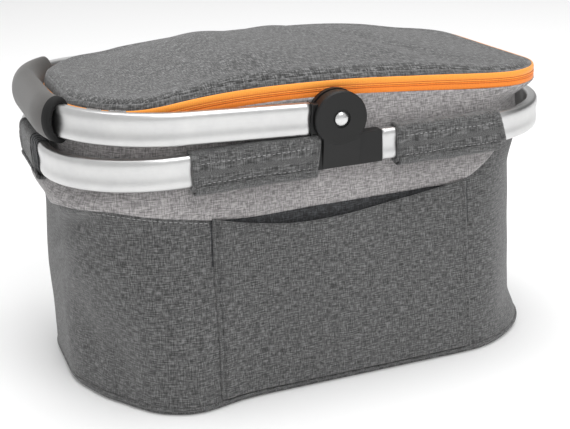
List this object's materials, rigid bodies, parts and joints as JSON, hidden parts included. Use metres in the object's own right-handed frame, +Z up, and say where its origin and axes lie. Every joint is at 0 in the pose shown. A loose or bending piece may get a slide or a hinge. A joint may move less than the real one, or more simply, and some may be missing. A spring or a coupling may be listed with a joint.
{
  "type": "handlebar basket",
  "caption": "Zipped cloth basket with rounded corners hung in an aluminium rim, with a folding carrying handle, foam grip, front pocket and quick-release adapter plate.",
  "frame": {"origin": "centre of the underside, at the height of the surface the basket stands on", "axes": "+X along the long side, +Y from the front pocket towards the handlebar adapter, +Z up"},
  "size_m": [0.3755, 0.2304, 0.231],
  "materials": {
    "aluminium_bar": "satin anodised",
    "black_plastic": "fine moulded grain",
    "foam_grip": "matt closed-cell foam",
    "dark_cloth": "dark grey melange weave",
    "light_cloth": "light grey melange weave",
    "lining_cloth": "coated lining cloth",
    "zip_tape": "ribbed orange zip tape with coil",
    "bright_steel": "bright",
    "stiff_board": "plain sheet"
  },
  "bodies": {
    "basket": {"rim_left_half": "aluminium_bar", "rim_right_half": "aluminium_bar", "pivot_bracket_front": "black_plastic", "pivot_bracket_back": "black_plastic", "pivot_rivet_front": "bright_steel", "pivot_rivet_back": "bright_steel", "base_panel": "dark_cloth", "base_board": "stiff_board", "bottom_piping": "dark_cloth", "bag_lower_shell": "dark_cloth", "bag_upper_band": "light_cloth", "bag_lining": "lining_cloth", "front_pocket": "dark_cloth", "hinge_cloth_lower": "dark_cloth", "rim_loop_front_left": "dark_cloth", "rim_loop_front_right": "dark_cloth", "rim_loop_back_left": "dark_cloth", "rim_loop_back_right": "dark_cloth", "rim_loop_left_end": "dark_cloth", "rim_loop_right_end": "dark_cloth", "zip_tape_lower": "zip_tape", "adapter_plate": "black_plastic", "adapter_backing_plate": "stiff_board", "adapter_screw_1": "bright_steel", "adapter_screw_2": "bright_steel", "adapter_screw_3": "bright_steel", "adapter_screw_4": "bright_steel", "adapter_nut_1": "bright_steel", "adapter_nut_2": "bright_steel", "adapter_nut_3": "bright_steel", "adapter_nut_4": "bright_steel"},
    "handle": {"handle_tube": "aluminium_bar", "handle_grip": "foam_grip", "handle_hub_front": "black_plastic", "handle_hub_back": "black_plastic", "pivot_washer_front": "black_plastic", "pivot_washer_back": "black_plastic"},
    "lid": {"zip_tape_upper": "zip_tape", "lid_border": "dark_cloth", "lid_top": "dark_cloth"},
    "slider_a": {"zip_slider_a": "bright_steel"},
    "slider_b": {"zip_slider_b": "bright_steel"},
    "pull_a": {"zip_pull_a": "bright_steel"},
    "pull_b": {"zip_pull_b": "bright_steel"}
  },
  "joints": [
    {"name": "handle_swing", "type": "hinge", "parent": "basket", "child": "handle", "pos_m": [0, 0, 0.1925], "axis": [0, 1, 0], "range_deg": [0, 174]},
    {"name": "lid_hinge", "type": "hinge", "parent": "basket", "child": "lid", "pos_m": [0, 0.0964, 0.211], "axis": [-1, 0, 0], "range_deg": [0, 100]},
    {"name": "slider_a_travel", "type": "hinge", "parent": "basket", "child": "slider_a", "pos_m": [-0.0965, -0.027, 0.204], "axis": [0, 0, 1], "range_deg": [0, 36]},
    {"name": "slider_b_travel", "type": "hinge", "parent": "basket", "child": "slider_b", "pos_m": [-0.0965, -0.027, 0.204], "axis": [0, 0, 1], "range_deg": [-36, 0]},
    {"name": "pull_a_swing", "type": "hinge", "parent": "slider_a", "child": "pull_a", "pos_m": [-0.1396, -0.08216, 0.204], "axis": [-0.6157, -0.788, 0], "range_deg": [-20, 60]},
    {"name": "pull_b_swing", "type": "hinge", "parent": "slider_b", "child": "pull_b", "pos_m": [-0.15166, -0.0701, 0.204], "axis": [-0.788, -0.6157, 0], "range_deg": [-60, 20]}
  ]
}
